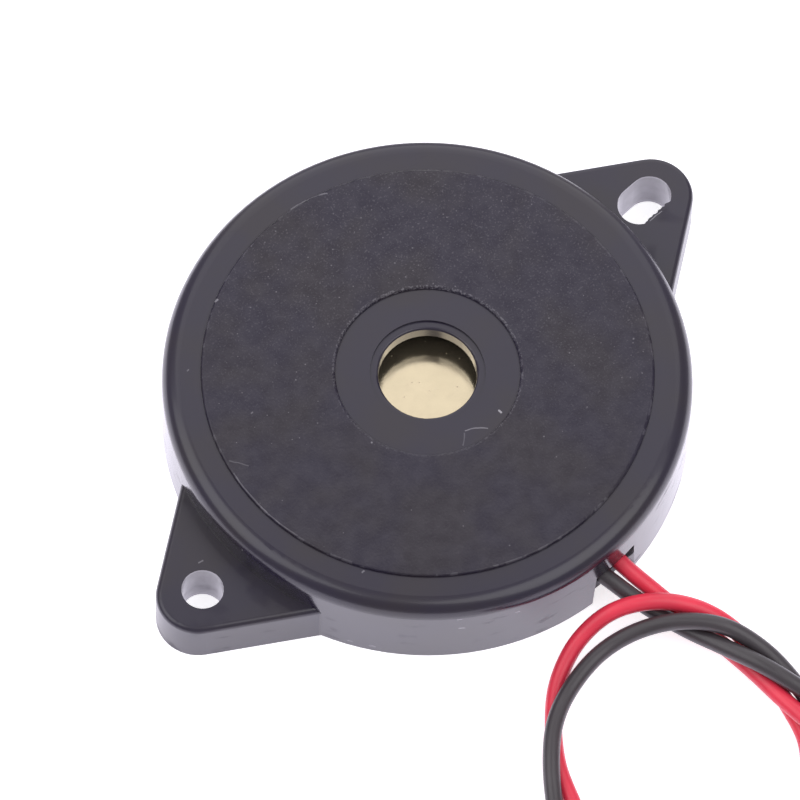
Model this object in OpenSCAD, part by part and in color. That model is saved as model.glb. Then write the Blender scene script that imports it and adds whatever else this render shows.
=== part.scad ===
// Piezo buzzer, external-drive type, with two screw ears and a pair of flying leads.
// The round case is one open-backed moulding. A brass diaphragm with a piezo ceramic lies face up on a
// ledge inside it, a cover closes the back, and the leads leave by a notch in the rim.
// Ears lie along X with the slotted one at +X, the leads leave towards -Y, and the back rests on z = 0.

/* [Case] */
// Outside diameter of the round case
case_d = 44; // [40:0.5:60]
// Height of the plain outer band of the front face
case_h = 8.3; // [6.9:0.1:14]
// Thickness of the side wall
wall = 1.6; // [1.2:0.1:2.5]
// Thickness of the front wall
front_t = 1.5; // [1:0.1:2]
// Radius of the front edge
edge_r = 1.5; // [0.5:0.1:2.5]
// Width of the plain band outside the raised ring
band_w = 3.2; // [2.5:0.05:5]
// Height of the raised, finely textured ring
ring_rise = 0.3; // [0.25:0.05:0.6]
// Radius of the ring's two upper edges
ring_edge_r = 0.25; // [0.1:0.05:0.25]
// Inside diameter of the raised ring
ring_inner_d = 15.3; // [11:0.1:20]

/* [Sound port] */
// Diameter of the port
port_d = 8.2; // [4:0.1:9]
// Width of the shallow step round the port
port_step_w = 0.7; // [0.4:0.1:1]
// Depth of that step below the face inside the ring
port_step_depth = 0.2; // [0.1:0.05:0.6]
// Radius of the port's upper edge
port_edge_r = 0.2; // [0.1:0.05:0.3]

/* [Mounting ears] */
// How far each ear stands out from the wall
ear_len = 8; // [7:0.1:12]
// Thickness of the ears
ear_t = 4.6; // [2:0.1:5]
// Radius of the rounded tip
ear_tip_r = 3.5; // [3:0.1:4.5]
// Angle between each flank of an ear and its centre line
ear_flank_a = 33.6; // [20:0.2:40]
// Radius of the upper edge of the ears
ear_edge_r = 0.5; // [0.2:0.1:1]
// Diameter of the round screw hole
hole_d = 3.5; // [2.5:0.1:4]
// Distance of the round hole's centre from the tip of its ear
hole_inset = 4; // [3.5:0.1:6]
// Width of the screw slot
slot_w = 3.6; // [2.5:0.1:4]
// Length of the screw slot over its round ends
slot_len = 4.9; // [4.2:0.1:5.5]
// Distance of the slot's centre from the tip of its ear
slot_inset = 4.35; // [4:0.05:6]

/* [Wire notch] */
// Width of the notch at the open back
notch_w = 4.9; // [4.6:0.1:6]
// Width of the notch at its top
notch_top_w = 4.4; // [4.2:0.1:6]
// Height of the notch
notch_h = 4.4; // [4.3:0.1:4.6]
// Distance of the notch from the centre line, towards the slotted ear
notch_x = 0.2; // [0:0.1:0.4]

/* [Diaphragm] */
// Height of the ledge that the brass disc is bonded to
seat_h = 4.9; // [4.6:0.1:5.4]
// Width of the ledge
seat_w = 1.9; // [1.2:0.1:3]
// Gap round the brass disc
brass_gap = 0.4; // [0.2:0.1:1]
// Thickness of the brass disc
brass_t = 0.25; // [0.15:0.05:0.4]
// Diameter of the piezo ceramic
ceramic_d = 25; // [20:0.5:27]
// Thickness of the piezo ceramic
ceramic_t = 0.25; // [0.15:0.05:0.3]
// Bare rim of ceramic round the silver electrode
electrode_rim = 1; // [0.5:0.1:2]
// Thickness of the fired silver electrode
electrode_t = 0.05; // [0.03:0.01:0.1]

/* [Back cover] */
// Thickness of the cover
cover_t = 1.2; // [0.8:0.1:1.4]
// Width of the step in the rim that the cover lies against
cover_step_w = 0.8; // [0.5:0.1:1]
// Gap round the cover
cover_gap = 0.1; // [0.05:0.05:0.3]

/* [Adhesive] */
// Width of the adhesive fillet under the edge of the brass disc
fillet_w = 1.1; // [0.6:0.1:1.5]
// Height of that fillet on the wall
fillet_h = 0.8; // [0.4:0.1:1.2]
// Diameter of the bead that holds the leads
bead_d = 6; // [5.4:0.1:6.6]
// Height of the bead above the cover
bead_lift = 0.4; // [0.1:0.1:1]

/* [Leads] */
// Outside diameter of the insulation
wire_d = 1.45; // [1.2:0.05:1.45]
// Diameter of the tinned copper strand
strand_d = 0.6; // [0.4:0.05:0.8]
// Length of bare strand at the free ends
tip_len = 5; // [3:0.5:8]
// Length of bare strand between the red lead and its joint on the electrode
red_strand_len = 2.8; // [2.4:0.1:3.2]
// Length of bare strand between the black lead and its joint on the brass
black_strand_len = 1.7; // [1.4:0.1:2]
// Radius of each solder joint where it wets the metal
solder_r = 1.4; // [1.2:0.1:1.6]
// Solder left below the strand
solder_cover = 0.15; // [0.05:0.05:0.3]

/* [Hidden] */
$fn = 96;
eps = 0.01;

case_r = case_d / 2;
bore_r = case_r - wall;
step_r = bore_r + cover_step_w;
cavity_r = bore_r - seat_w;
cavity_top = case_h - front_t;
ring_top = case_h + ring_rise;
tip_x = case_r + ear_len;
ear_x = tip_x - ear_tip_r;
brass_r = bore_r - brass_gap;
brass_z = seat_h - brass_t;
ceramic_z = brass_z - ceramic_t;
electrode_z = ceramic_z - electrode_t;
bead_y = -(bore_r - 1.8);

// Where each lead's centre line runs, from its inner end through the notch, over the bench in one
// loop and one arch, to the start of its bare tip. Both lie on the bench or on each other.
RED_ROUTE = [
    [2, -12.25, 3.5], [1.6, -15.5, 3.5], [1.2, -18.75, 3.5], [0.8, -22, 3.5], [1.3, -25.4, 2.5],
    [1.9, -28.9, 1.5], [2.3, -32.5, 1.3], [2.2, -36.1, 1.9], [2, -39.6, 2.3], [2, -43.2, 2.5],
    [2.4, -46.7, 2.2], [3, -50.1, 1.6], [3, -53.6, 1], [1.6, -56.5, 0.8], [-1.2, -57.9, 0.8],
    [-4.3, -57.4, 0.8], [-6.3, -55.1, 0.8], [-6.3, -51.9, 0.8], [-4.4, -49, 0.8], [-1.5, -46.2, 0.9],
    [1.1, -43.3, 0.9], [2.5, -39.7, 0.8], [3.5, -36, 0.8], [3.8, -32.5, 1.8], [2.6, -29.4, 3.2],
    [0.2, -26.7, 4.1], [-2.9, -24.7, 3.7], [-6.3, -24.2, 2.4], [-9.6, -25.2, 1.2], [-12.4, -27.4, 0.8],
    [-14.9, -30.4, 0.8], [-16.5, -33.7, 0.8], [-17.9, -37.2, 0.8], [-18.9, -40.8, 0.8],
    [-19.5, -44.6, 0.8], [-19.4, -48.4, 0.8], [-18.7, -52.2, 0.8], [-17.4, -55.8, 0.8],
    [-15.6, -59.1, 0.8], [-13.2, -62.1, 0.8]];
BLACK_ROUTE = [
    [-1.8, -16.3, 3.5], [-1.4, -19.15, 3.5], [-1, -22, 3.5], [-0.2, -25.8, 2.6], [0.8, -29.6, 2.3],
    [1.7, -33.3, 3], [2.6, -37, 3.6], [3.6, -40.9, 3], [4.7, -44.5, 1.9], [5.6, -48.2, 1.1],
    [5.7, -52.1, 0.8], [4.5, -55.7, 0.9], [1.8, -58.3, 1.4], [-1.5, -58.9, 2], [-4.3, -57.3, 2.3],
    [-5.3, -54.4, 2], [-4.1, -51.3, 1.3], [-1.4, -48.6, 0.9], [1.4, -45.6, 0.8], [3.4, -42.1, 1.1],
    [4, -38.4, 2], [3.8, -35.1, 2.9], [2.6, -32, 3.9], [0.3, -29.2, 3.9], [-2.6, -27.2, 3.2],
    [-5.9, -26.3, 2.5], [-9.6, -26.7, 2.2], [-12.8, -28, 2.3], [-15.4, -30.1, 2.2],
    [-17.9, -33, 1.6], [-19.9, -36.1, 1], [-21.3, -39.5, 0.8], [-22.1, -43.1, 0.8],
    [-22.3, -46.9, 0.8], [-21.8, -50.7, 0.8], [-20.6, -54.3, 0.8], [-18.9, -57.6, 0.8],
    [-16.6, -60.6, 0.8]];

function unit(v) = v / norm(v);
function point_on(from, towards, length) = from + length * unit(towards);

// Direction of a route at point i: along the chord between its neighbours, straight at the ends.
function heading(route, i) = unit(route[min(i + 1, len(route) - 1)] - route[max(i - 1, 0)]);

// Where each inner strand ends, in line with the end of its lead.
red_joint = point_on(RED_ROUTE[0], -heading(RED_ROUTE, 0), red_strand_len);
black_joint = point_on(BLACK_ROUTE[0], -heading(BLACK_ROUTE, 0), black_strand_len);

// Half section of a disc of radius r and height h, with a rounded upper edge.
module rounded_half_section(r, h, edge) {
    square([r, h - edge]);
    square([r - edge, h]);
    translate([r - edge, h - edge]) circle(r = edge);
}

// Cylinder of a given length from a point along a direction.
module rod(from, towards, length, d) {
    v = unit(towards);
    translate(from) rotate([0, acos(v[2]), atan2(v[1], v[0])]) cylinder(d = d, h = length, $fn = 32);
}

// Tube of eight sides along a route, with a ring at each of its points.
module lead(route) {
    sides = 8;
    rings = [for (i = [0:len(route) - 1])
        let (t = heading(route, i), side = unit(cross(t, [0, 0, 1])), up = cross(side, t))
        for (k = [0:sides - 1])
            let (a = 360 * (k + 0.5) / sides)
            route[i] + wire_d / 2 * (cos(a) * side + sin(a) * up)];
    last = sides * (len(route) - 1);
    polyhedron(points = rings, convexity = 10, faces = concat(
        [[for (k = [0:sides - 1]) k]],
        [for (i = [0:len(route) - 2], k = [0:sides - 1])
            let (n = (k + 1) % sides, a = i * sides)
            [a + k, a + sides + k, a + sides + n, a + n]],
        [[for (k = [sides - 1:-1:0]) last + k]]));
}

// Block of one ear: a round tip, two straight flanks with the same section, and the web between. The
// pieces overlap by half the tip's radius.
module ear_block() {
    foot = ear_x * sin(ear_flank_a) + ear_tip_r;
    reach = ear_x * cos(ear_flank_a) - sqrt(case_r ^ 2 - foot ^ 2) + wall / 2;
    lap = ear_tip_r / 2;
    web_x = lap * sin(ear_flank_a) - (reach - lap) * cos(ear_flank_a);
    web_y = lap * cos(ear_flank_a) + (reach - lap) * sin(ear_flank_a);
    translate([ear_x, 0, 0]) {
        rotate([0, 0, ear_flank_a - 90]) rotate_extrude(angle = 180 - 2 * ear_flank_a)
            rounded_half_section(ear_tip_r, ear_t, ear_edge_r);
        for (s = [0, 1]) mirror([0, s, 0])
            rotate([0, 0, 180 - ear_flank_a]) rotate([90, 0, 90]) mirror([1, 0, 0])
                linear_extrude(height = reach) translate([-lap, 0])
                    rounded_half_section(ear_tip_r + lap, ear_t, ear_edge_r);
        linear_extrude(height = ear_t) polygon([[lap, 0], [web_x, web_y], [web_x, -web_y]]);
    }
}

// Round body with its raised ring, as one turned blank.
module body_blank() {
    ring_w = case_r - band_w - ring_inner_d / 2;
    rotate_extrude() {
        rounded_half_section(case_r, case_h, edge_r);
        translate([ring_inner_d / 2, case_h - eps]) {
            square([ring_w, ring_rise - ring_edge_r + eps]);
            translate([ring_edge_r, 0]) square([ring_w - 2 * ring_edge_r, ring_rise + eps]);
        }
        for (x = [ring_edge_r, ring_w - ring_edge_r])
            translate([ring_inner_d / 2 + x, ring_top - ring_edge_r]) circle(r = ring_edge_r);
    }
}

// Room inside the case: the step for the cover, the bore, and the sound chamber above the ledge.
module interior() {
    translate([0, 0, -1]) cylinder(r = step_r, h = cover_t + 1);
    translate([0, 0, -1]) cylinder(r = bore_r, h = seat_h + 1);
    translate([0, 0, -1]) cylinder(r = cavity_r, h = cavity_top + 1);
}

// Port with a rounded upper edge, in a shallow round step.
module sound_port() {
    edge_x = port_d / 2 + port_edge_r;
    step_z = case_h - port_step_depth;
    cylinder(d = port_d, h = ring_top + 1);
    translate([0, 0, step_z]) cylinder(d = port_d + 2 * port_step_w, h = 2);
    rotate_extrude() difference() {
        translate([0, step_z - port_edge_r]) square([edge_x, port_edge_r + eps]);
        translate([edge_x, step_z - port_edge_r]) circle(r = port_edge_r);
    }
}

module screw_slot() {
    run = slot_len - slot_w;
    translate([tip_x - slot_inset, 0, -1]) {
        for (s = [-1, 1]) translate([s * run / 2, 0, 0]) cylinder(d = slot_w, h = ear_t + 2);
        translate([-run / 2, -slot_w / 2, 0]) cube([run, slot_w, ear_t + 2]);
    }
}

module wire_notch() {
    translate([notch_x, -cavity_r, 0]) rotate([90, 0, 0]) linear_extrude(height = wall + seat_w + 1)
        polygon([[-notch_w / 2, -1], [notch_w / 2, -1], [notch_w / 2, 0],
                 [notch_top_w / 2, notch_h], [-notch_top_w / 2, notch_h], [-notch_w / 2, 0]]);
}

// Black moulded case with its ears.
module case_shell() {
    color("#4a474e") difference() {
        union() {
            body_blank();
            ear_block();
            mirror([1, 0, 0]) ear_block();
        }
        interior();
        sound_port();
        screw_slot();
        translate([-(tip_x - hole_inset), 0, -1]) cylinder(d = hole_d, h = ear_t + 2);
        wire_notch();
    }
}

// Flat cover pressed into the step of the rim, flush with the back.
module back_cover() {
    color("#2a2a2c") cylinder(r = step_r - cover_gap, h = cover_t);
}

module brass_plate() {
    color("#d9c68e") translate([0, 0, brass_z]) cylinder(r = brass_r, h = brass_t);
}

module ceramic_disc() {
    color("#d8d4c6") translate([0, 0, ceramic_z]) cylinder(d = ceramic_d, h = ceramic_t);
}

module silver_electrode() {
    color("#c9c9c6") translate([0, 0, electrode_z])
        cylinder(r = ceramic_d / 2 - electrode_rim, h = electrode_t);
}

module bead_outline() {
    translate([0, bead_y, cover_t + bead_lift]) cylinder(d = bead_d, h = seat_h - cover_t);
}

// Fillet of adhesive that bonds the brass disc to the ledge and wall. The bead takes its place at the
// notch.
module adhesive_ring() {
    color("#b9b3a4") difference() {
        rotate_extrude() polygon([[brass_r - fillet_w, brass_z], [brass_r, brass_z], [brass_r, seat_h],
                                  [bore_r, seat_h], [bore_r, brass_z - fillet_h]]);
        bead_outline();
    }
}

// Round passage through the bead that the straight inner stretch of a lead and its strand fill.
module lead_passage(route) {
    rod(route[0], heading(route, 0), case_r + route[0][1] + 1, wire_d);
    rod(route[0], -heading(route, 0), bead_d, strand_d);
}

// Bead that holds both leads in the notch.
module glue_bead() {
    color("#2c2b2d") difference() {
        intersection() {
            bead_outline();
            translate([0, 0, cover_t]) cylinder(r = bore_r, h = brass_z - cover_t);
        }
        lead_passage(RED_ROUTE);
        lead_passage(BLACK_ROUTE);
    }
}

// Domed joint that hangs from a metal face at height face_z and covers the end of a strand. A strand
// further down than the joint's radius makes it a column with a round end.
module solder_joint(face_z, at) {
    h = face_z - at[2] + strand_d / 2 + solder_cover;
    cap = min(h, solder_r);
    dome_r = (solder_r ^ 2 + cap ^ 2) / (2 * cap);
    translate([at[0], at[1], face_z - h]) {
        intersection() {
            translate([0, 0, dome_r]) sphere(r = dome_r);
            translate([0, 0, -1]) cylinder(r = 2 * solder_r, h = cap + 1);
        }
        if (h > cap) translate([0, 0, cap]) cylinder(r = solder_r, h = h - cap);
    }
}

module black_strand() {
    color("#c8c6c2") rod(BLACK_ROUTE[0], -heading(BLACK_ROUTE, 0), black_strand_len, strand_d);
}

module red_strand() {
    color("#c8c6c2") rod(RED_ROUTE[0], -heading(RED_ROUTE, 0), red_strand_len, strand_d);
}

module solder_brass() {
    color("#b8b8b6") difference() {
        solder_joint(brass_z, black_joint);
        black_strand();
    }
}

module solder_ceramic() {
    color("#b8b8b6") difference() {
        solder_joint(electrode_z, red_joint);
        red_strand();
    }
}

module red_lead() {
    color("#c8364a") lead(RED_ROUTE);
}

module black_lead() {
    color("#3a3a3c") lead(BLACK_ROUTE);
}

// Bare tinned end that runs straight on from a lead.
module tinned_tip(route) {
    last = len(route) - 1;
    color("#c8c6c2") rod(route[last], heading(route, last), tip_len, strand_d);
}

case_shell();  // case
back_cover();
brass_plate();
ceramic_disc();
silver_electrode();
adhesive_ring();
solder_brass();
solder_ceramic();
glue_bead();
red_lead();
black_lead();
red_strand();
black_strand();
tinned_tip(RED_ROUTE);  // red_tip
tinned_tip(BLACK_ROUTE);  // black_tip
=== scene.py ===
import math

import bpy
from mathutils import Matrix, Vector


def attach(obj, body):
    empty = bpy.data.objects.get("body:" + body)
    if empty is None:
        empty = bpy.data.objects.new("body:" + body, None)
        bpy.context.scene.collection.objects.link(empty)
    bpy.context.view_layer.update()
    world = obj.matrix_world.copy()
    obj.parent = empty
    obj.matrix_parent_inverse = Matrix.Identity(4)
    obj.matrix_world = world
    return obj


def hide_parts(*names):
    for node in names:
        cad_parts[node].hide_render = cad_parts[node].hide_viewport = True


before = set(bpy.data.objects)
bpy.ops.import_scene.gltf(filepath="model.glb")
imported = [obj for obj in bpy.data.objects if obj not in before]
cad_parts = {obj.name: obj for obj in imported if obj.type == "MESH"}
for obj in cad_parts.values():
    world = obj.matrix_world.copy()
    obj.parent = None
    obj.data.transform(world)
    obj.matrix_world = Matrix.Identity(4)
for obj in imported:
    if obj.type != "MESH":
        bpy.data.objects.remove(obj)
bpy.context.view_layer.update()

# ---------------------------------------------------------------------------------------------
# View
# The buzzer lies on its back on a pale bench and is seen from above through a long lens, with the
# round-hole ear at the left, the slotted ear at the right and the leads coming forward.

view_azimuth = math.radians(-46.76)
view_elevation = math.radians(63.75)
view_roll = math.radians(2.29)
view_distance = 1.0
view_centre = Vector((-0.00191, 0.00122, 0.004))

towards_camera = Vector((math.sin(view_azimuth) * math.cos(view_elevation),
                         -math.cos(view_azimuth) * math.cos(view_elevation),
                         math.sin(view_elevation)))
level_right = Vector((0, 0, 1)).cross(towards_camera).normalized()
level_up = towards_camera.cross(level_right)
rolled_right = math.cos(view_roll) * level_right + math.sin(view_roll) * level_up
rolled_up = math.cos(view_roll) * level_up - math.sin(view_roll) * level_right

camera_data = bpy.data.cameras.new("bench_camera")
camera_data.sensor_width = 36
camera_data.lens = 541.9
camera_data.clip_start = 0.05
camera_data.clip_end = 20
camera = bpy.data.objects.new("bench_camera", camera_data)
turn = Matrix((rolled_right, rolled_up, towards_camera)).transposed().to_4x4()
camera.matrix_world = Matrix.Translation(view_centre + view_distance * towards_camera) @ turn
bpy.context.scene.collection.objects.link(camera)
bpy.context.scene.camera = camera

# ---------------------------------------------------------------------------------------------
# Leads
# Two stranded wires, AWG 26 or so, in smooth extruded PVC, one red and one black. They leave by the
# notch, cross over each other on the bench in one loop and one arch, and end 5 mm bare and tinned.

MM = 0.001
wire_d = 1.45 * MM
strand_d = 0.6 * MM
tip_len = 5 * MM
red_strand_len = 2.8 * MM
black_strand_len = 1.7 * MM

RED_ROUTE = [
    (2, -12.25, 3.5), (1.6, -15.5, 3.5), (1.2, -18.75, 3.5), (0.8, -22, 3.5), (1.3, -25.4, 2.5),
    (1.9, -28.9, 1.5), (2.3, -32.5, 1.3), (2.2, -36.1, 1.9), (2, -39.6, 2.3), (2, -43.2, 2.5),
    (2.4, -46.7, 2.2), (3, -50.1, 1.6), (3, -53.6, 1), (1.6, -56.5, 0.8), (-1.2, -57.9, 0.8),
    (-4.3, -57.4, 0.8), (-6.3, -55.1, 0.8), (-6.3, -51.9, 0.8), (-4.4, -49, 0.8),
    (-1.5, -46.2, 0.9),
    (1.1, -43.3, 0.9), (2.5, -39.7, 0.8), (3.5, -36, 0.8), (3.8, -32.5, 1.8), (2.6, -29.4, 3.2),
    (0.2, -26.7, 4.1), (-2.9, -24.7, 3.7), (-6.3, -24.2, 2.4), (-9.6, -25.2, 1.2),
    (-12.4, -27.4, 0.8),
    (-14.9, -30.4, 0.8), (-16.5, -33.7, 0.8), (-17.9, -37.2, 0.8), (-18.9, -40.8, 0.8),
    (-19.5, -44.6, 0.8), (-19.4, -48.4, 0.8), (-18.7, -52.2, 0.8), (-17.4, -55.8, 0.8),
    (-15.6, -59.1, 0.8), (-13.2, -62.1, 0.8)]
BLACK_ROUTE = [
    (-1.8, -16.3, 3.5), (-1.4, -19.15, 3.5), (-1, -22, 3.5), (-0.2, -25.8, 2.6), (0.8, -29.6, 2.3),
    (1.7, -33.3, 3), (2.6, -37, 3.6), (3.6, -40.9, 3), (4.7, -44.5, 1.9), (5.6, -48.2, 1.1),
    (5.7, -52.1, 0.8), (4.5, -55.7, 0.9), (1.8, -58.3, 1.4), (-1.5, -58.9, 2), (-4.3, -57.3, 2.3),
    (-5.3, -54.4, 2), (-4.1, -51.3, 1.3), (-1.4, -48.6, 0.9), (1.4, -45.6, 0.8), (3.4, -42.1, 1.1),
    (4, -38.4, 2), (3.8, -35.1, 2.9), (2.6, -32, 3.9), (0.3, -29.2, 3.9), (-2.6, -27.2, 3.2),
    (-5.9, -26.3, 2.5), (-9.6, -26.7, 2.2), (-12.8, -28, 2.3), (-15.4, -30.1, 2.2),
    (-17.9, -33, 1.6), (-19.9, -36.1, 1), (-21.3, -39.5, 0.8), (-22.1, -43.1, 0.8),
    (-22.3, -46.9, 0.8), (-21.8, -50.7, 0.8), (-20.6, -54.3, 0.8), (-18.9, -57.6, 0.8),
    (-16.6, -60.6, 0.8)]


def new_material(name):
    """A node material, with its tree and its Principled shader."""
    material = bpy.data.materials.new(name)
    material.use_nodes = True
    return material, material.node_tree, material.node_tree.nodes["Principled BSDF"]


def new_group(name, inputs, outputs):
    """An empty shader node group with its input and output nodes. Sockets: (name, kind, value)."""
    group = bpy.data.node_groups.new(name, "ShaderNodeTree")
    for label, kind, value in inputs:
        socket = group.interface.new_socket(name=label, in_out="INPUT", socket_type=kind)
        socket.default_value = value
    for label, kind in outputs:
        group.interface.new_socket(name=label, in_out="OUTPUT", socket_type=kind)
    return group, group.nodes.new("NodeGroupInput"), group.nodes.new("NodeGroupOutput")


def node(tree, kind, links=None, **values):
    """A node whose sockets are linked to other sockets, or set, by name or number."""
    made = tree.nodes.new(kind)
    for key, value in values.items():
        setattr(made, key, value)
    for key, source in (links or {}).items():
        if isinstance(source, bpy.types.NodeSocket):
            tree.links.new(source, made.inputs[key])
        else:
            made.inputs[key].default_value = source
    return made


def math_node(tree, operation, *terms, clamp=False):
    """The value of one Math node; terms are numbers or sockets."""
    return node(tree, "ShaderNodeMath", dict(enumerate(terms)), operation=operation,
                use_clamp=clamp).outputs[0]


def use_group(tree, group, links):
    """A placed node group with its inputs linked or set."""
    made = tree.nodes.new("ShaderNodeGroup")
    made.node_tree = group
    for key, source in links.items():
        if isinstance(source, bpy.types.NodeSocket):
            tree.links.new(source, made.inputs[key])
        else:
            made.inputs[key].default_value = source
    return made


def object_point(tree):
    """Where a point of the surface lies in the row frame, in metres."""
    return tree.nodes.new("ShaderNodeTexCoord").outputs["Object"]


# Uneven surface: a fine grain that lifts and dips, and a slow blotchy drift of tone and gloss.
surface_drift, drift_in, drift_out = new_group(
    "surface_drift",
    [("Point", "NodeSocketVector", (0, 0, 0)), ("Grain size", "NodeSocketFloat", 0.0003),
     ("Blotch size", "NodeSocketFloat", 0.004)],
    [("Grain", "NodeSocketFloat"), ("Blotch", "NodeSocketFloat")])
for label, size_label, detail in (("Grain", "Grain size", 3), ("Blotch", "Blotch size", 2)):
    frequency = math_node(surface_drift, "DIVIDE", 1, drift_in.outputs[size_label])
    noise = node(surface_drift, "ShaderNodeTexNoise",
                 {"Vector": drift_in.outputs["Point"], "Scale": frequency, "Detail": detail})
    surface_drift.links.new(noise.outputs["Fac"], drift_out.inputs[label])


def insulation(name, colour, gloss_roughness):
    """Extruded PVC: one colour with a faint drift, a soft shine and a barely uneven skin."""
    material, tree, shader = new_material(name)
    drift = use_group(tree, surface_drift, {"Point": object_point(tree), "Grain size": 0.5 * MM,
                                            "Blotch size": 5 * MM})
    tone = node(tree, "ShaderNodeMapRange", {"Value": drift.outputs["Blotch"], "From Min": 0.3,
                                             "From Max": 0.7, "To Min": 0.88, "To Max": 1.12})
    mixed = node(tree, "ShaderNodeVectorMath", {0: colour, "Scale": tone.outputs[0]},
                 operation="SCALE")
    tree.links.new(mixed.outputs[0], shader.inputs["Base Color"])
    rough = node(tree, "ShaderNodeMapRange", {"Value": drift.outputs["Grain"], "From Min": 0.3,
                                              "From Max": 0.7, "To Min": gloss_roughness - 0.02,
                                              "To Max": gloss_roughness + 0.04})
    tree.links.new(rough.outputs[0], shader.inputs["Roughness"])
    bump = node(tree, "ShaderNodeBump", {"Height": drift.outputs["Grain"], "Strength": 0.3,
                                         "Distance": 0.008 * MM})
    tree.links.new(bump.outputs[0], shader.inputs["Normal"])
    return material


def lead_curve(name, route, material):
    """The insulation as a smooth tube through the route's points."""
    points = [Vector(p) * MM for p in route]
    last = len(points) - 1
    curve = bpy.data.curves.new(name, "CURVE")
    curve.dimensions = "3D"
    curve.bevel_depth = wire_d / 2
    curve.bevel_resolution = 6
    curve.resolution_u = 8
    curve.use_fill_caps = True
    spline = curve.splines.new("BEZIER")
    spline.bezier_points.add(last)
    for i, (knot, p) in enumerate(zip(spline.bezier_points, points)):
        before, after = points[max(i - 1, 0)], points[min(i + 1, last)]
        slope = (after - before) / (2 if 0 < i < last else 1)
        knot.co = p
        knot.handle_left_type = knot.handle_right_type = "FREE"
        knot.handle_left = p - slope / 3
        knot.handle_right = p + slope / 3
    curve.materials.append(material)
    lead = bpy.data.objects.new(name, curve)
    bpy.context.scene.collection.objects.link(lead)
    return lead


def bare_strand(name, start, direction, length, turns_per_mm=0.14):
    """Seven fine wires twisted together: one straight in the middle, six wound round it."""
    fine_r = strand_d / 6
    along = direction.normalized()
    side = along.cross(Vector((0, 0, 1))).normalized()
    up = side.cross(along)
    sides, steps = 8, 20
    verts, faces = [], []
    for wire in range(7):
        base = len(verts)
        for step in range(steps + 1):
            t = length * step / steps
            angle = 2 * math.pi * (wire / 6 + turns_per_mm * t / MM)
            out = 0 if wire == 6 else 2 * fine_r
            centre = start + along * t + out * (math.cos(angle) * side + math.sin(angle) * up)
            for k in range(sides):
                a = 2 * math.pi * k / sides
                verts.append(centre + fine_r * 1.08 * (math.cos(a) * side + math.sin(a) * up))
        for step in range(steps):
            for k in range(sides):
                a, b = base + step * sides + k, base + step * sides + (k + 1) % sides
                faces.append((a, b, b + sides, a + sides))
        faces.append([base + k for k in reversed(range(sides))])
        faces.append([base + steps * sides + k for k in range(sides)])
    mesh = bpy.data.meshes.new(name)
    mesh.from_pydata(verts, [], faces)
    mesh.polygons.foreach_set("use_smooth", [len(p.vertices) == 4 for p in mesh.polygons])
    mesh.materials.append(tinned_copper)
    strand = bpy.data.objects.new(name, mesh)
    bpy.context.scene.collection.objects.link(strand)
    return strand


red_pvc = insulation("red_pvc", (0.85, 0.042, 0.085), 0.34)
black_pvc = insulation("black_pvc", (0.056, 0.048, 0.055), 0.34)


def bare_metal(name, colour, grain, blotch, shine, bump_strength):
    """Clean metal, unevenly shiny; sizes in mm, shine as lowest and highest roughness."""
    material, tree, shader = new_material(name)
    drift = use_group(tree, surface_drift, {"Point": object_point(tree), "Grain size": grain * MM,
                                            "Blotch size": blotch * MM})
    rough = node(tree, "ShaderNodeMapRange", {"Value": drift.outputs["Blotch"],
                                              "To Min": shine[0], "To Max": shine[1]})
    tree.links.new(rough.outputs[0], shader.inputs["Roughness"])
    bump = node(tree, "ShaderNodeBump", {"Height": drift.outputs["Grain"],
                                         "Strength": bump_strength, "Distance": 0.02 * MM})
    tree.links.new(bump.outputs[0], shader.inputs["Normal"])
    shader.inputs["Base Color"].default_value = (*colour, 1)
    shader.inputs["Metallic"].default_value = 1
    return material


tinned_copper = bare_metal("tinned_copper", (0.72, 0.70, 0.67), 0.12, 1.2, (0.18, 0.42), 0.4)

for colour, route, pvc, strand_len in (("red", RED_ROUTE, red_pvc, red_strand_len),
                                       ("black", BLACK_ROUTE, black_pvc, black_strand_len)):
    first, second = Vector(route[0]) * MM, Vector(route[1]) * MM
    end, before_end = Vector(route[-1]) * MM, Vector(route[-2]) * MM
    lead = lead_curve(colour + "_insulation", route, pvc)
    tip = bare_strand(colour + "_tinned_tip", end, end - before_end, tip_len)
    inner = bare_strand(colour + "_inner_strand", first, first - second, strand_len)
    for piece, cad_node, slot in ((lead, "_lead", "insulation_" + colour),
                                  (tip, "_tip", "tinned_copper"),
                                  (inner, "_strand", "tinned_copper")):
        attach(piece, "root")
        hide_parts(colour + cad_node)

# ---------------------------------------------------------------------------------------------
# Case
# One injection moulding in black ABS, shot with the two ears. The tool's front face has a fine
# spark-eroded ring, and is smoother inside and outside it. Dust and a stray hair lie on the front.

ring_outer_r = 18.8 * MM
ring_inner_r = 7.65 * MM
port_r = 4.1 * MM
case_r = 22 * MM
band_z = 8.3 * MM
ear_z = 4.6 * MM
round_hole = (-26 * MM, 0, 1.75 * MM)  # centre, half of its straight run, radius
screw_slot = (25.65 * MM, 0.65 * MM, 1.8 * MM)

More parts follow.
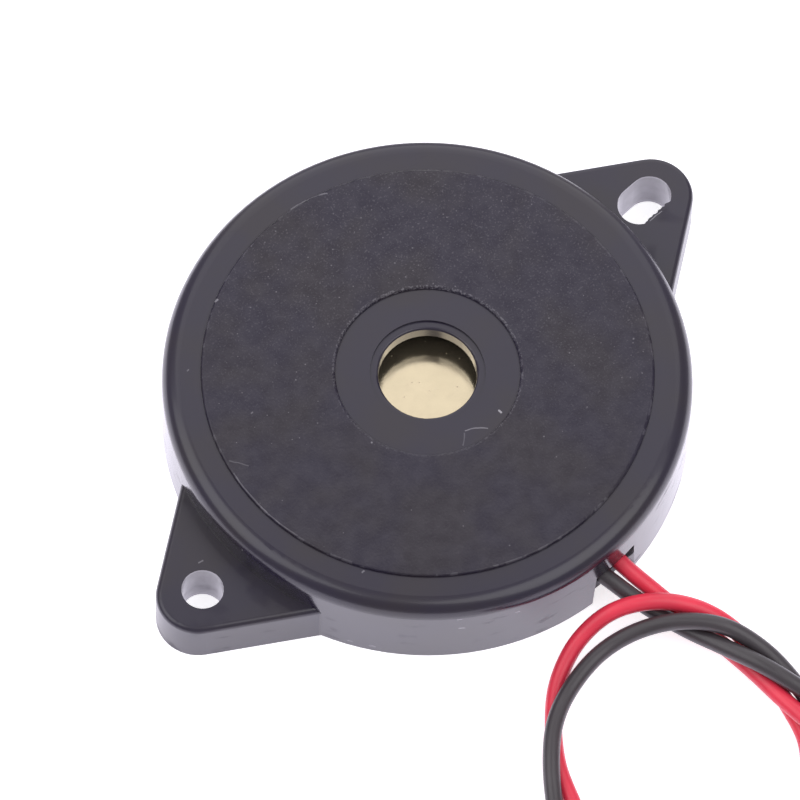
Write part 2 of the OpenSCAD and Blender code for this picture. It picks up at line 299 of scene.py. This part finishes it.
# Settled dust: scattered pale specks. Spacing is the mean distance between places where one may
# lie, Size how large the largest is, and Amount the share of the places that have one.
settled_dust, dust_in, dust_out = new_group(
    "settled_dust",
    [("Point", "NodeSocketVector", (0, 0, 0)), ("Spacing", "NodeSocketFloat", 0.001),
     ("Size", "NodeSocketFloat", 0.0002), ("Amount", "NodeSocketFloat", 0.5)],
    [("Mask", "NodeSocketFloat")])
cells = node(settled_dust, "ShaderNodeTexVoronoi",
             {"Vector": dust_in.outputs["Point"],
              "Scale": math_node(settled_dust, "DIVIDE", 1, dust_in.outputs["Spacing"])})
chance = node(settled_dust, "ShaderNodeSeparateColor", {0: cells.outputs["Color"]})
speck_r = math_node(settled_dust, "MULTIPLY", math_node(
    settled_dust, "DIVIDE", dust_in.outputs["Size"], dust_in.outputs["Spacing"]),
    math_node(settled_dust, "ADD", 0.25, math_node(settled_dust, "MULTIPLY",
                                                   chance.outputs[1], 0.75)))
on_speck = node(settled_dust, "ShaderNodeMapRange",
                {"Value": math_node(settled_dust, "DIVIDE", cells.outputs["Distance"], speck_r),
                 "From Min": 1, "From Max": 0.5, "To Min": 0, "To Max": 1})
taken = math_node(settled_dust, "LESS_THAN", chance.outputs[0], dust_in.outputs["Amount"])
settled_dust.links.new(math_node(settled_dust, "MULTIPLY", on_speck.outputs[0], taken),
                       dust_out.inputs["Mask"])

# A fine hair: part of a circle of a given radius, kept to within Reach of its middle. A short wide
# one is a crumb or a scuff.
stray_hair, hair_in, hair_out = new_group(
    "stray_hair",
    [("Point", "NodeSocketVector", (0, 0, 0)), ("Centre", "NodeSocketVector", (0, 0, 0)),
     ("Middle", "NodeSocketVector", (0, 0, 0)), ("Radius", "NodeSocketFloat", 0.001),
     ("Reach", "NodeSocketFloat", 0.001), ("Width", "NodeSocketFloat", 0.00005)],
    [("Mask", "NodeSocketFloat")])
from_centre = node(stray_hair, "ShaderNodeVectorMath", {0: hair_in.outputs["Point"],
                   1: hair_in.outputs["Centre"]}, operation="DISTANCE").outputs["Value"]
from_middle = node(stray_hair, "ShaderNodeVectorMath", {0: hair_in.outputs["Point"],
                   1: hair_in.outputs["Middle"]}, operation="DISTANCE").outputs["Value"]
wander = node(stray_hair, "ShaderNodeTexNoise", {"Vector": hair_in.outputs["Point"],
                                                 "Scale": 1 / (0.6 * MM), "Detail": 2})
offset = math_node(stray_hair, "MULTIPLY", wander.outputs["Fac"], 0.16 * MM)
off_line = math_node(stray_hair, "ABSOLUTE", math_node(stray_hair, "SUBTRACT", math_node(
    stray_hair, "ADD", from_centre, offset), hair_in.outputs["Radius"]))
on_line = math_node(stray_hair, "LESS_THAN", off_line, hair_in.outputs["Width"])
in_reach = math_node(stray_hair, "LESS_THAN", from_middle, hair_in.outputs["Reach"])
stray_hair.links.new(math_node(stray_hair, "MULTIPLY", on_line, in_reach), hair_out.inputs["Mask"])

case_black, tree, shader = new_material("case_black")
point = object_point(tree)
x, y, z = node(tree, "ShaderNodeSeparateXYZ", {0: point}).outputs
radius = math_node(tree, "SQRT", math_node(tree, "ADD", math_node(tree, "MULTIPLY", x, x),
                                           math_node(tree, "MULTIPLY", y, y)))
outside_hole = math_node(tree, "GREATER_THAN", radius, ring_inner_r)
inside_edge = math_node(tree, "LESS_THAN", radius, ring_outer_r)
on_ring = math_node(tree, "GREATER_THAN", z, band_z + 0.1 * MM)
in_ring = math_node(tree, "MULTIPLY", math_node(tree, "MULTIPLY", outside_hole, inside_edge),
                    on_ring)
drift = use_group(tree, surface_drift, {"Point": point, "Grain size": 0.3 * MM,
                                        "Blotch size": 6 * MM})

# Spark texture of the ring, in relief and as fine pale pepper; the pepper is painted sparkle where
# the texture catches light, palest on the far side.
spark = use_group(tree, surface_drift, {"Point": point, "Grain size": 0.2 * MM,
                                        "Blotch size": 0.16 * MM})
mottle = use_group(tree, surface_drift, {"Point": point, "Grain size": 1.4 * MM,
                                         "Blotch size": 1.4 * MM})
pits = node(tree, "ShaderNodeTexVoronoi", {"Vector": point, "Scale": 1 / (0.35 * MM)})
height = math_node(tree, "ADD", spark.outputs["Grain"],
                   math_node(tree, "MULTIPLY", pits.outputs["Distance"], 0.5))
height = math_node(tree, "MULTIPLY", height, in_ring)
bump = node(tree, "ShaderNodeBump", {"Height": height, "Strength": 1, "Distance": 0.04 * MM})
tree.links.new(bump.outputs[0], shader.inputs["Normal"])

on_ear = math_node(tree, "GREATER_THAN", radius, case_r + 0.1 * MM)
rough = node(tree, "ShaderNodeMapRange", {"Value": z, "From Min": band_z - 2.1 * MM,
                                          "From Max": band_z - 0.9 * MM, "To Min": 0.17,
                                          "To Max": 0.31}).outputs[0]
rough = math_node(tree, "ADD", rough, math_node(tree, "MULTIPLY", in_ring, 0.07))
in_port = math_node(tree, "MULTIPLY", math_node(tree, "LESS_THAN", radius, port_r + 0.03 * MM),
                    math_node(tree, "LESS_THAN", z, band_z - 0.3 * MM))
rough = math_node(tree, "SUBTRACT", rough, math_node(tree, "MULTIPLY", in_port, 0.19))
rough = math_node(tree, "ADD", rough, math_node(tree, "MULTIPLY", on_ear, 0.2))
rough = math_node(tree, "ADD", rough, math_node(
    tree, "MULTIPLY", math_node(tree, "SUBTRACT", drift.outputs["Blotch"], 0.5), 0.08))

# Handling has left faint flat smudges on the outer wall.
along_wall = node(tree, "ShaderNodeMapping", {"Vector": point, "Scale": (1, 1, 2.5)})
smudge = use_group(tree, surface_drift, {"Point": along_wall.outputs[0], "Grain size": 3.2 * MM,
                                         "Blotch size": 3.2 * MM})
smudge = node(tree, "ShaderNodeMapRange", {"Value": smudge.outputs["Grain"], "From Min": 0.6,
                                           "From Max": 0.7, "To Min": 0, "To Max": 1})
smudge = math_node(tree, "MULTIPLY", smudge.outputs[0],
                   math_node(tree, "LESS_THAN", z, band_z - 1.8 * MM))
rough = math_node(tree, "ADD", rough, math_node(tree, "MULTIPLY", smudge, 0.12))
tree.links.new(rough, shader.inputs["Roughness"])

# Dust specks, pale pepper and edge beads grow towards the far side of the front, away from the
# view: partly dust, partly painted glints where that side catches the light from behind.
away_x, away_y = 0.73, 0.685
far_side_dust_and_glint = node(tree, "ShaderNodeMapRange",
                  {"Value": math_node(tree, "ADD", math_node(tree, "MULTIPLY", x, away_x),
                                      math_node(tree, "MULTIPLY", y, away_y)),
                   "From Min": -10 * MM, "From Max": 14 * MM, "To Min": 0.12, "To Max": 0.8})
drifted = node(tree, "ShaderNodeMapRange", {"Value": drift.outputs["Blotch"], "From Min": 0.4,
                                            "From Max": 0.6, "To Min": 0.35, "To Max": 1})
dust_share = math_node(tree, "MULTIPLY", far_side_dust_and_glint.outputs[0], drifted.outputs[0])
fine_dust_and_glints = use_group(tree, settled_dust, {"Point": point, "Spacing": 0.5 * MM,
                                           "Size": 0.09 * MM, "Amount": dust_share})
coarse_dust = use_group(tree, settled_dust, {"Point": point, "Spacing": 4.5 * MM,
                                             "Size": 0.16 * MM, "Amount": 0.4})
dust_marks_and_glints = math_node(tree, "ADD",
                   math_node(tree, "MULTIPLY", fine_dust_and_glints.outputs[0],
                             math_node(tree, "MULTIPLY", in_ring, 0.11)),
                   math_node(tree, "MULTIPLY", coarse_dust.outputs[0], 0.2))

# Hairs, crumbs, scuffs, a pale streak along the far ring edge, and two painted highlights, pale
# lines where the ring's left edge and the slot's near edge catch light, as centre, middle, radius,
# reach, half width and paleness.
for centre, middle, hair_r, hair_reach, half_width, shade in (
        ((-2.7, -9, 8.3), (-0.75, -6.45, 8.3), 3.28, 0.98, 0.05, 0.15),
        ((-5, -3.2, 8.3), (-2.2, -6.5, 8.3), 4.4, 0.6, 0.055, 0.06),
        ((-3.3, -6.75, 8.3), (1.75, -6.75, 8.3), 5.1, 0.2, 0.09, 0.3),
        ((-7.4, -5, 8.3), (-7.4, -5.5, 8.3), 0.55, 0.14, 0.07, 0.12),
        ((-25.1, -1, 4.6), (-24.35, 1.9, 4.6), 3.1, 0.24, 0.06, 0.14),
        ((-22, -1, 7), (-22, -0.5, 7), 0.55, 0.12, 0.06, 0.2),
        # Painted highlight: the pale line where the slot's near edge catches light.
        ((24.8, -21.7, 4.6), (25.3, -1.73, 4.6), 20.08, 0.7, 0.035, 0.22),
        ((2.1, 12.7, 8.5), (4.1, 18.3, 8.5), 6.05, 1.7, 0.06, 0.12),
        ((-16.67, -9.8, 8.3), (-16.67, -9.27, 8.3), 0.6, 0.15, 0.07, 0.15),
        # Painted highlight: the pale line where the ring's left edge catches light.
        ((0, 0, 8.5), (-18.6, 0.6, 8.55), 18.72, 3.9, 0.05, 0.06),
        ((-25.8, -0.15, 8.6), (-17.15, 4.8, 8.6), 10.05, 0.85, 0.05, 0.06),
        ((-8, 16.3, 8.55), (-8, 16.85, 8.55), 0.63, 0.2, 0.09, 0.2),
        ((-14.1, 13.4, 8.3), (-14.1, 13.95, 8.3), 0.63, 0.12, 0.06, 0.1),
        ((-13.15, 6.8, 8.6), (-13.15, 7.35, 8.6), 0.63, 0.12, 0.06, 0.1),
        ((-13.5, -17.4, 5.7), (-13.5, -17.4, 6.7), 1.05, 0.22, 0.07, 0.25),
        ((-19.3, -10.55, -0.2), (-19.3, -10.55, 0.8), 1.05, 0.25, 0.08, 0.2),
        ((-18.3, -12.2, -0.2), (-18.3, -12.2, 0.8), 1.05, 0.3, 0.08, 0.2),
        ((-13.3, -17.5, 4), (-13.3, -17.5, 5), 1.05, 0.3, 0.08, 0.3),
        ((-9.3, -20, 4.8), (-9.3, -20, 5.8), 1.05, 0.22, 0.07, 0.25)):
    hair = use_group(tree, stray_hair, {"Point": point, "Centre": Vector(centre) * MM,
                                        "Middle": Vector(middle) * MM, "Radius": hair_r * MM,
                                        "Reach": hair_reach * MM, "Width": half_width * MM})
    dust_marks_and_glints = math_node(tree, "ADD", dust_marks_and_glints, math_node(tree, "MULTIPLY", hair.outputs[0], shade))

# The walls of the round hole and the slot, and a little of the port's, are painted pale: painted
# light for the brightly lit hole walls, and in the port a painted reflection of the brass.
hole_walls_painted_pale = 0
for centre_x, half_run, hole_r in (round_hole, screw_slot):
    off_x = math_node(tree, "MAXIMUM", 0, math_node(tree, "SUBTRACT", math_node(
        tree, "ABSOLUTE", math_node(tree, "SUBTRACT", x, centre_x)), half_run))
    off = math_node(tree, "SQRT", math_node(tree, "ADD", math_node(tree, "MULTIPLY", off_x, off_x),
                                            math_node(tree, "MULTIPLY", y, y)))
    hole_walls_painted_pale = math_node(tree, "ADD", hole_walls_painted_pale, math_node(tree, "LESS_THAN", off, hole_r + 0.03 * MM))
hole_walls_painted_pale = math_node(tree, "ADD", hole_walls_painted_pale, math_node(tree, "MULTIPLY", in_port, 0.1))
facing = node(tree, "ShaderNodeSeparateXYZ",
              {0: tree.nodes.new("ShaderNodeTexCoord").outputs["Normal"]})
hole_walls_painted_pale = math_node(tree, "MULTIPLY", hole_walls_painted_pale, math_node(tree, "LESS_THAN", facing.outputs["Z"], 0.5))
polished = math_node(tree, "MULTIPLY", hole_walls_painted_pale, 0.5)
# The painted light is palest at their two rims, and blotchy between.
upper_rim, lower_rim = 0.25 * MM, 0.35 * MM
rim = math_node(tree, "MAXIMUM", math_node(tree, "GREATER_THAN", z, ear_z - upper_rim),
                math_node(tree, "LESS_THAN", z, lower_rim))
patchy = math_node(tree, "ADD", math_node(tree, "MULTIPLY", mottle.outputs["Grain"], 0.8),
                   math_node(tree, "MULTIPLY", rim, 0.4))
hole_walls_painted_pale = math_node(tree, "MULTIPLY", hole_walls_painted_pale, math_node(tree, "ADD", patchy, 0.5))
browned = node(tree, "ShaderNodeMapRange", {"Value": drift.outputs["Blotch"], "From Min": 0.4,
                                            "From Max": 0.62, "To Min": 0, "To Max": 1})
plastic = node(tree, "ShaderNodeMix", {0: browned.outputs[0]}, data_type="RGBA")
plastic.inputs[6].default_value = (0.015, 0.0105, 0.028, 1)
plastic.inputs[7].default_value = (0.018, 0.0125, 0.023, 1)
# Pale pepper on the ring: painted sparkle of the spark texture, made stronger on the far side.
pepper_and_glints = node(tree, "ShaderNodeMapRange", {"Value": spark.outputs["Blotch"], "From Min": 0.58,
                                          "From Max": 0.7, "To Min": 0, "To Max": 0.06})
mottling = node(tree, "ShaderNodeMapRange", {"Value": mottle.outputs["Grain"], "From Min": 0.35,
                                             "From Max": 0.65, "To Min": -0.011, "To Max": 0.001})
# Broken pale beads along the ring's inner and outer edges: painted glints where the edges catch
# light, on the inner edge mostly at the far side.
edge_glint_beads = node(tree, "ShaderNodeMapRange", {"Value": spark.outputs["Blotch"], "From Min": 0.5,
                                              "From Max": 0.56, "To Min": 0, "To Max": 0.12})
inner_edge = math_node(tree, "MULTIPLY", math_node(tree, "LESS_THAN", radius,
                                                   ring_inner_r + 0.28 * MM),
                       far_side_dust_and_glint.outputs[0])
in_patch = math_node(tree, "GREATER_THAN", mottle.outputs["Grain"], 0.56)
outer_edge = math_node(tree, "MULTIPLY", math_node(tree, "GREATER_THAN", radius,
                                                   ring_outer_r - 0.2 * MM), in_patch)
# Pepper, edge glints and mottle together: painted sparkle and painted glints over a random tone,
# only on the ring.
pepper_and_glints = math_node(tree, "ADD", math_node(tree, "MULTIPLY", pepper_and_glints.outputs[0], far_side_dust_and_glint.outputs[0]),
                  math_node(tree, "MULTIPLY", edge_glint_beads.outputs[0], inner_edge))
pepper_and_glints = math_node(tree, "ADD", pepper_and_glints, math_node(tree, "MULTIPLY", outer_edge, 0.035))
pepper_and_glints = math_node(tree, "MULTIPLY", math_node(tree, "ADD", pepper_and_glints, mottling.outputs[0]), in_ring)
# Pale additions to the base colour: dust, hairs and scuffs, with painted sparkle, painted edge
# glints and the hole walls' painted light.
pale = node(tree, "ShaderNodeVectorMath", {0: (0.95, 0.92, 1), "Scale": math_node(
    tree, "ADD", math_node(tree, "ADD", pepper_and_glints, dust_marks_and_glints),
    math_node(tree, "MULTIPLY", hole_walls_painted_pale, 0.42))}, operation="SCALE")
mixed = node(tree, "ShaderNodeVectorMath", {0: plastic.outputs[2], 1: pale.outputs[0]},
             operation="ADD")
tree.links.new(mixed.outputs[0], shader.inputs["Base Color"])
dulled = math_node(tree, "MAXIMUM", math_node(tree, "MULTIPLY", in_ring, 0.2),
                   math_node(tree, "MULTIPLY", smudge, 0.25))
coat = math_node(tree, "ADD", math_node(tree, "ADD", 0.34, polished),
                 math_node(tree, "MULTIPLY", in_port, 0.45))
tree.links.new(math_node(tree, "SUBTRACT", coat, dulled), shader.inputs["Coat Weight"])
shader.inputs["Coat Roughness"].default_value = 0.12
shader.inputs["Sheen Weight"].default_value = 0.15
shader.inputs["Sheen Roughness"].default_value = 0.25


def finish_with(cad_node, material):
    """Gives a carried-over CAD node its finish."""
    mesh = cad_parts[cad_node].data
    mesh.materials.clear()
    mesh.materials.append(material)


finish_with("case", case_black)

# A ragged thin flash of the same plastic hangs into the slot along its near edge.
slot_x, slot_run, slot_r = screw_slot
edge_points = []
for centre_x, start, step, count in ((slot_x - slot_run, -120, 6, 5),
                                     (slot_x + slot_run, -90, 6, 6)):
    for i in range(count):
        turn_angle = math.radians(start + step * i)
        edge_points.append((centre_x + slot_r * math.cos(turn_angle), slot_r * math.sin(turn_angle),
                            -math.cos(turn_angle), -math.sin(turn_angle)))
    if start < -90:
        edge_points += [(slot_x + (k - 3) * 0.2 * MM, -slot_r, 0, 1) for k in range(7)]
verts, faces = [], []
for i, (edge_x, edge_y, inward_x, inward_y) in enumerate(edge_points):
    share = min(1, 2.4 * math.sin(math.pi * i / (len(edge_points) - 1)))
    width = (0.31 + 0.05 * math.sin(2.3 * i) + 0.03 * math.sin(5.1 * i + 1)) * share * MM
    for out, drop in ((-0.04 * MM, 0.02), (width, 0.04), (width * 0.8, 0.12), (-0.04 * MM, 0.2)):
        verts.append((edge_x + inward_x * out, edge_y + inward_y * out, ear_z - drop * MM))
for i in range(len(edge_points) - 1):
    for k in range(4):
        faces.append((4 * i + k, 4 * i + (k + 1) % 4, 4 * i + 4 + (k + 1) % 4, 4 * i + 4 + k))
last_ring = 4 * (len(edge_points) - 1)
faces += [(3, 2, 1, 0), (last_ring, last_ring + 1, last_ring + 2, last_ring + 3)]
flash_mesh = bpy.data.meshes.new("slot_flash")
flash_mesh.from_pydata(verts, [], faces)
flash_mesh.materials.append(case_black)
slot_flash = bpy.data.objects.new("slot_flash", flash_mesh)
bpy.context.scene.collection.objects.link(slot_flash)
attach(slot_flash, "root")

# ---------------------------------------------------------------------------------------------
# Diaphragm
# A rolled brass disc with a thin piezo ceramic bonded under it and a fired silver electrode on
# that. The bare brass shows through the sound port, with a little dust and fine rolling lines.

brass, tree, shader = new_material("brass")
point = object_point(tree)
drift = use_group(tree, surface_drift, {"Point": point, "Grain size": 0.15 * MM,
                                        "Blotch size": 2 * MM})
along_rolling = node(tree, "ShaderNodeMapping", {"Vector": point, "Rotation": (0, 0, 0.6),
                                                 "Scale": (1, 14, 1)})
lines = node(tree, "ShaderNodeTexNoise", {"Vector": along_rolling.outputs[0],
                                          "Scale": 1 / (1.2 * MM), "Detail": 3})
relief = math_node(tree, "ADD", math_node(tree, "MULTIPLY", drift.outputs["Grain"], 0.6),
                   math_node(tree, "MULTIPLY", lines.outputs["Fac"], 0.4))
relief = math_node(tree, "ADD", relief, math_node(tree, "MULTIPLY", drift.outputs["Blotch"], 6))
bump = node(tree, "ShaderNodeBump", {"Height": relief, "Strength": 0.3, "Distance": 0.01 * MM})
tree.links.new(bump.outputs[0], shader.inputs["Normal"])
dust = use_group(tree, settled_dust, {"Point": point, "Spacing": 0.5 * MM, "Size": 0.09 * MM,
                                      "Amount": 0.45})
rough = node(tree, "ShaderNodeMapRange", {"Value": drift.outputs["Blotch"], "From Min": 0.3,
                                          "From Max": 0.7, "To Min": 0.13, "To Max": 0.19})
tree.links.new(math_node(tree, "ADD", rough.outputs[0],
                         math_node(tree, "MULTIPLY", dust.outputs[0], 0.5)),
               shader.inputs["Roughness"])
tree.links.new(math_node(tree, "SUBTRACT", 0.92, math_node(tree, "MULTIPLY", dust.outputs[0],
                                                           0.35)), shader.inputs["Metallic"])
shader.inputs["Base Color"].default_value = (0.65, 0.555, 0.39, 1)
finish_with("brass_plate", brass)


def dull_solid(name, colour, roughness, grain, blotch, tone_swing, bump_strength, bump_depth):
    """A non-metal of one faintly mottled colour with a barely uneven skin; sizes in mm."""
    material, tree, shader = new_material(name)
    drift = use_group(tree, surface_drift, {"Point": object_point(tree), "Grain size": grain * MM,
                                            "Blotch size": blotch * MM})
    tone = node(tree, "ShaderNodeMapRange", {"Value": drift.outputs["Blotch"],
                                             "To Min": 1 - tone_swing, "To Max": 1 + tone_swing})
    mixed = node(tree, "ShaderNodeVectorMath", {0: colour, "Scale": tone.outputs[0]},
                 operation="SCALE")
    tree.links.new(mixed.outputs[0], shader.inputs["Base Color"])
    bump = node(tree, "ShaderNodeBump", {"Height": drift.outputs["Grain"],
                                         "Strength": bump_strength, "Distance": bump_depth * MM})
    tree.links.new(bump.outputs[0], shader.inputs["Normal"])
    shader.inputs["Roughness"].default_value = roughness
    return material


# Pressed and fired lead zirconate: dull, warm grey and faintly mottled.
finish_with("ceramic_disc", dull_solid("ceramic", (0.62, 0.58, 0.50), 0.7, 0.08, 1.5, 0.1, 0.4,
                                       0.01))

# Screen-printed silver paste, fired on: matt, with the mesh of the screen just showing.
silver, tree, shader = new_material("silver")
point = object_point(tree)
drift = use_group(tree, surface_drift, {"Point": point, "Grain size": 0.1 * MM,
                                        "Blotch size": 3 * MM})
mesh_lines = node(tree, "ShaderNodeTexWave", {"Vector": point, "Scale": 1 / (2.4 * MM)})
relief = math_node(tree, "ADD", drift.outputs["Grain"],
                   math_node(tree, "MULTIPLY", mesh_lines.outputs["Fac"], 0.2))
bump = node(tree, "ShaderNodeBump", {"Height": relief, "Strength": 0.4, "Distance": 0.01 * MM})
tree.links.new(bump.outputs[0], shader.inputs["Normal"])
rough = node(tree, "ShaderNodeMapRange", {"Value": drift.outputs["Blotch"], "To Min": 0.4,
                                          "To Max": 0.55})
tree.links.new(rough.outputs[0], shader.inputs["Roughness"])
shader.inputs["Base Color"].default_value = (0.80, 0.79, 0.76, 1)
shader.inputs["Metallic"].default_value = 1
finish_with("silver_electrode", silver)

# ---------------------------------------------------------------------------------------------
# Adhesive, solder and bead
# Cream silicone beds the disc on its ledge, two hand-made tin joints hold the strands, and a bead
# of black epoxy fills the notch round the leads. None of them shows from outside but the bead.

finish_with("adhesive_ring", dull_solid("adhesive", (0.50, 0.46, 0.38), 0.38, 0.4, 2.5, 0.1, 0.5,
                                        0.04))
solder = bare_metal("solder", (0.62, 0.62, 0.62), 0.15, 0.6, (0.12, 0.34), 0.3)
finish_with("solder_brass", solder)
finish_with("solder_ceramic", solder)
finish_with("glue_bead", dull_solid("bead_black", (0.022, 0.021, 0.023), 0.28, 0.5, 2, 0.2, 0.5,
                                    0.05))

# ---------------------------------------------------------------------------------------------
# Back cover
# A plain black disc moulded in the same plastic, matt on the outside, pressed into the rim's step
# and flush with it. It is scuffed where it slides on the bench.

cover_black, tree, shader = new_material("cover_black")
point = object_point(tree)
drift = use_group(tree, surface_drift, {"Point": point, "Grain size": 0.2 * MM,
                                        "Blotch size": 5 * MM})
slid = node(tree, "ShaderNodeMapping", {"Vector": point, "Rotation": (0, 0, 0.4),
                                        "Scale": (0.6, 12, 1)})
scratches = node(tree, "ShaderNodeTexNoise", {"Vector": slid.outputs[0], "Scale": 1 / (2.5 * MM),
                                              "Detail": 2})
scuff = node(tree, "ShaderNodeMapRange", {"Value": scratches.outputs["Fac"], "From Min": 0.66,
                                          "From Max": 0.74, "To Min": 0, "To Max": 1})
pale = math_node(tree, "ADD", math_node(tree, "MULTIPLY", scuff.outputs[0], 0.035),
                 math_node(tree, "MULTIPLY", drift.outputs["Blotch"], 0.008))
mixed = node(tree, "ShaderNodeVectorMath", {0: (0.026, 0.025, 0.028), 1: pale}, operation="ADD")
tree.links.new(mixed.outputs[0], shader.inputs["Base Color"])
tree.links.new(math_node(tree, "SUBTRACT", 0.58, math_node(tree, "MULTIPLY", scuff.outputs[0],
                                                           0.16)), shader.inputs["Roughness"])
bump = node(tree, "ShaderNodeBump", {"Height": drift.outputs["Grain"], "Strength": 0.6,
                                     "Distance": 0.02 * MM})
tree.links.new(bump.outputs[0], shader.inputs["Normal"])
finish_with("back_cover", cover_black)

# ---------------------------------------------------------------------------------------------
# Bench and light
# A white bench under a soft even sky, with soft panels to the left and right and a leaning one
# behind. Seen in the glossy walls, the bench's near part glows with a violet tint as painted light,
# and its far part is painted darker as painted shade.

bench_mesh = bpy.data.meshes.new("bench")
reach = 1.5
bench_corners = [(-reach, -reach, 0), (reach, -reach, 0), (reach, reach, 0), (-reach, reach, 0)]
bench_mesh.from_pydata(bench_corners, [], [(0, 1, 2, 3)])
bench = bpy.data.objects.new("bench", bench_mesh)
bpy.context.scene.collection.objects.link(bench)
white_bench, tree, shader = new_material("white_bench")
shader.inputs["Roughness"].default_value = 0.9
shader.inputs["Specular IOR Level"].default_value = 0
path = tree.nodes.new("ShaderNodeLightPath")
mirrored = math_node(tree, "MAXIMUM", path.outputs["Is Glossy Ray"],
                     path.outputs["Is Transmission Ray"])
x, y, z = node(tree, "ShaderNodeSeparateXYZ", {0: object_point(tree)}).outputs
nearness = math_node(tree, "ADD", math_node(tree, "MULTIPLY", x, math.sin(view_azimuth)),
                     math_node(tree, "MULTIPLY", y, -math.cos(view_azimuth)))
near_part = node(tree, "ShaderNodeMapRange", {"Value": nearness, "From Min": -36 * MM,
                                              "From Max": -24 * MM, "To Min": 0, "To Max": 1})
near_part.interpolation_type = "SMOOTHSTEP"
aside = math_node(tree, "ABSOLUTE", math_node(
    tree, "ADD", math_node(tree, "MULTIPLY", x, math.cos(view_azimuth)),
    math_node(tree, "MULTIPLY", y, math.sin(view_azimuth))))
middle_part = node(tree, "ShaderNodeMapRange", {"Value": aside, "From Min": 55 * MM,
                                                "From Max": 110 * MM, "To Min": 1, "To Max": 0.1})
middle_part.interpolation_type = "SMOOTHSTEP"
painted_glow_share = math_node(tree, "MULTIPLY", near_part.outputs[0], middle_part.outputs[0])
# Camera rays see an evenly bright bench; glossy rays see a painted glow on its near part.
strength = math_node(tree, "ADD", math_node(tree, "MULTIPLY", path.outputs["Is Camera Ray"], 0.7),
                     math_node(tree, "MULTIPLY", mirrored, painted_glow_share))
tree.links.new(strength, shader.inputs["Emission Strength"])
glow = node(tree, "ShaderNodeMix", {0: mirrored}, data_type="RGBA")
glow.inputs[6].default_value = (1, 1, 1, 1)
glow.inputs[7].default_value = (0.9, 0.865, 1, 1)
tree.links.new(glow.outputs[2], shader.inputs["Emission Color"])
# In reflections the far bench is painted 60% darker: painted shade.
far_mirrored = math_node(tree, "MULTIPLY", mirrored, math_node(tree, "SUBTRACT", 1, painted_glow_share))
painted_far_shade = math_node(tree, "SUBTRACT", 1, math_node(tree, "MULTIPLY", far_mirrored, 0.6))
bench_colour_with_painted_shade = node(tree, "ShaderNodeVectorMath", {0: (0.91, 0.89, 0.96), "Scale": painted_far_shade},
             operation="SCALE")
tree.links.new(bench_colour_with_painted_shade.outputs[0], shader.inputs["Base Color"])
bench_mesh.materials.append(white_bench)

world = bpy.data.worlds.new("soft_sky")
bpy.context.scene.world = world
world.use_nodes = True
tree = world.node_tree
tree.nodes.clear()
path = tree.nodes.new("ShaderNodeLightPath")
sky = node(tree, "ShaderNodeBackground", {"Color": (0.99, 0.97, 1, 1), "Strength": 0.45})
backdrop = node(tree, "ShaderNodeBackground", {"Color": (1, 1, 1, 1), "Strength": 1})
choice = node(tree, "ShaderNodeMixShader", {0: path.outputs["Is Camera Ray"],
                                            1: sky.outputs[0], 2: backdrop.outputs[0]})
out = tree.nodes.new("ShaderNodeOutputWorld")
tree.links.new(choice.outputs[0], out.inputs["Surface"])


def soft_panel(name, azimuth, elevation, distance, size, power):
    """A square area lamp that faces the object from a bearing counted from the camera's."""
    bearing = view_azimuth + math.radians(azimuth)
    rise = math.radians(elevation)
    way = Vector((math.sin(bearing) * math.cos(rise), -math.cos(bearing) * math.cos(rise),
                  math.sin(rise)))
    lamp = bpy.data.lights.new(name, "AREA")
    lamp.size = size
    lamp.energy = power
    panel = bpy.data.objects.new(name, lamp)
    panel.location = way * distance
    panel.rotation_euler = way.to_track_quat("Z", "Y").to_euler()
    panel.visible_camera = False
    bpy.context.scene.collection.objects.link(panel)


soft_panel("left_panel", -84, 53, 1.5, 1.3, 8.2)
soft_panel("right_panel", 69, 60, 1.5, 1.3, 8.2)
soft_panel("back_panel", 180, 36, 0.294, 0.37, 0.4)

bpy.context.scene.view_settings.view_transform = "Standard"
